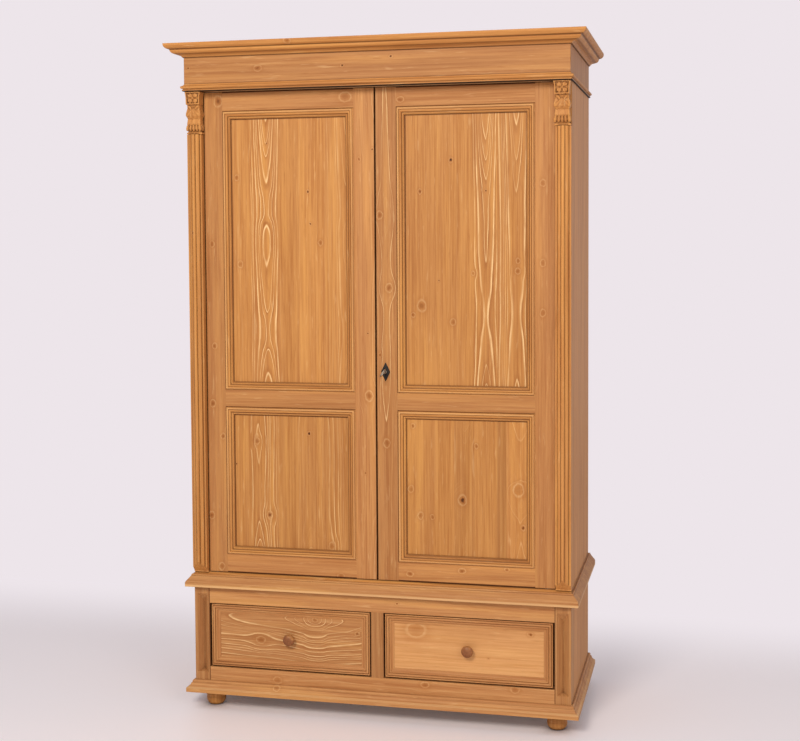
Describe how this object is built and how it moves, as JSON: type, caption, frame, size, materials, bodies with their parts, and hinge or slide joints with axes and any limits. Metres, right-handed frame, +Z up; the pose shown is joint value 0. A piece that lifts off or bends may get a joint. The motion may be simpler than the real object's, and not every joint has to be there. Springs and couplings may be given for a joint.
{
  "type": "wardrobe",
  "caption": "Tall wooden wardrobe with framed panel doors between moulded pilasters, a drawer base on bun feet and an overhanging cornice.",
  "frame": {"origin": "on the floor under the middle of the outer box", "axes": "+Z up, -Y towards the front with the doors and drawers, +X to the right seen from the front"},
  "size_m": [1.236, 0.59, 2],
  "materials": {
    "waxed_spruce_front": "satin wax",
    "waxed_spruce_moulded": "satin wax",
    "waxed_spruce_side": "satin wax",
    "raw_spruce": "matte",
    "turned_beech": "satin wax",
    "blackened_iron": "satin",
    "worn_steel": "satin",
    "bright_steel": "satin"
  },
  "bodies": {
    "carcass": {"back_boards": "raw_spruce", "base_back": "raw_spruce", "base_divider": "waxed_spruce_front", "base_post_left": "waxed_spruce_front", "base_post_right": "waxed_spruce_front", "base_rails": "waxed_spruce_front", "base_side_left": "waxed_spruce_side", "base_side_right": "waxed_spruce_side", "bead_moulding": "waxed_spruce_moulded", "bun_feet": "waxed_spruce_moulded", "cabinet_floor": "raw_spruce", "cabinet_side_left": "waxed_spruce_side", "cabinet_side_right": "waxed_spruce_side", "cabinet_top": "raw_spruce", "capital_left": "waxed_spruce_moulded", "capital_right": "waxed_spruce_moulded", "clothes_rail": "raw_spruce", "cornice": "waxed_spruce_moulded", "drawer_kickers": "raw_spruce", "drawer_runners": "raw_spruce", "foot_blocks": "raw_spruce", "frieze": "waxed_spruce_front", "hat_shelf": "raw_spruce", "pilaster_left": "waxed_spruce_moulded", "pilaster_right": "waxed_spruce_moulded", "pivot_sockets": "bright_steel", "plinth_moulding": "waxed_spruce_moulded", "rail_sockets": "raw_spruce", "shelf_cleats": "raw_spruce", "waist_moulding": "waxed_spruce_moulded"},
    "door_left": {"bolt_brackets": "bright_steel", "door_left_lower_panel": "waxed_spruce_front", "door_left_mouldings": "waxed_spruce_moulded", "door_left_pivots": "bright_steel", "door_left_rails": "waxed_spruce_front", "door_left_stiles": "waxed_spruce_front", "door_left_upper_panel": "waxed_spruce_front", "lock_keeper": "bright_steel"},
    "door_right": {"door_right_lower_panel": "waxed_spruce_front", "door_right_mouldings": "waxed_spruce_moulded", "door_right_pivots": "bright_steel", "door_right_rails": "waxed_spruce_front", "door_right_stiles": "waxed_spruce_front", "door_right_upper_panel": "waxed_spruce_front", "escutcheon": "blackened_iron", "lock_case": "bright_steel"},
    "drawer_left": {"drawer_left_bottom": "raw_spruce", "drawer_left_box": "raw_spruce", "drawer_left_frame": "waxed_spruce_moulded", "drawer_left_front": "waxed_spruce_front", "drawer_left_knob": "turned_beech"},
    "drawer_right": {"drawer_right_bottom": "raw_spruce", "drawer_right_box": "raw_spruce", "drawer_right_frame": "waxed_spruce_moulded", "drawer_right_front": "waxed_spruce_front", "drawer_right_knob": "turned_beech"},
    "key": {"key": "worn_steel"},
    "lock_bolt": {"lock_bolt": "bright_steel"},
    "top_bolt": {"top_bolt": "bright_steel"},
    "bottom_bolt": {"bottom_bolt": "bright_steel"}
  },
  "joints": [
    {"name": "door_left_hinge", "type": "hinge", "parent": "carcass", "child": "door_left", "pos_m": [-0.5018, -0.202, 1.14], "axis": [0, 0, -1], "range_deg": [0, 95]},
    {"name": "door_right_hinge", "type": "hinge", "parent": "carcass", "child": "door_right", "pos_m": [0.5018, -0.202, 1.14], "axis": [0, 0, 1], "range_deg": [0, 95]},
    {"name": "drawer_left_slide", "type": "slide", "parent": "carcass", "child": "drawer_left", "axis": [0, -1, 0], "range_m": [0, 0.35]},
    {"name": "drawer_right_slide", "type": "slide", "parent": "carcass", "child": "drawer_right", "axis": [0, -1, 0], "range_m": [0, 0.35]},
    {"name": "key_turn", "type": "hinge", "parent": "door_right", "child": "key", "pos_m": [0.0285, -0.21, 1.0357], "axis": [0, -1, 0], "range_deg": [0, 180]},
    {"name": "lock_bolt_slide", "type": "slide", "parent": "door_right", "child": "lock_bolt", "axis": [-1, 0, 0], "range_m": [0, 0.012]},
    {"name": "top_bolt_slide", "type": "slide", "parent": "door_left", "child": "top_bolt", "axis": [0, 0, 1], "range_m": [0, 0.014]},
    {"name": "bottom_bolt_slide", "type": "slide", "parent": "door_left", "child": "bottom_bolt", "axis": [0, 0, -1], "range_m": [0, 0.014]}
  ],
  "couplings": [
    {"joint": "key_turn", "follows": "lock_bolt_slide", "rad_per_m": 261.79}
  ]
}
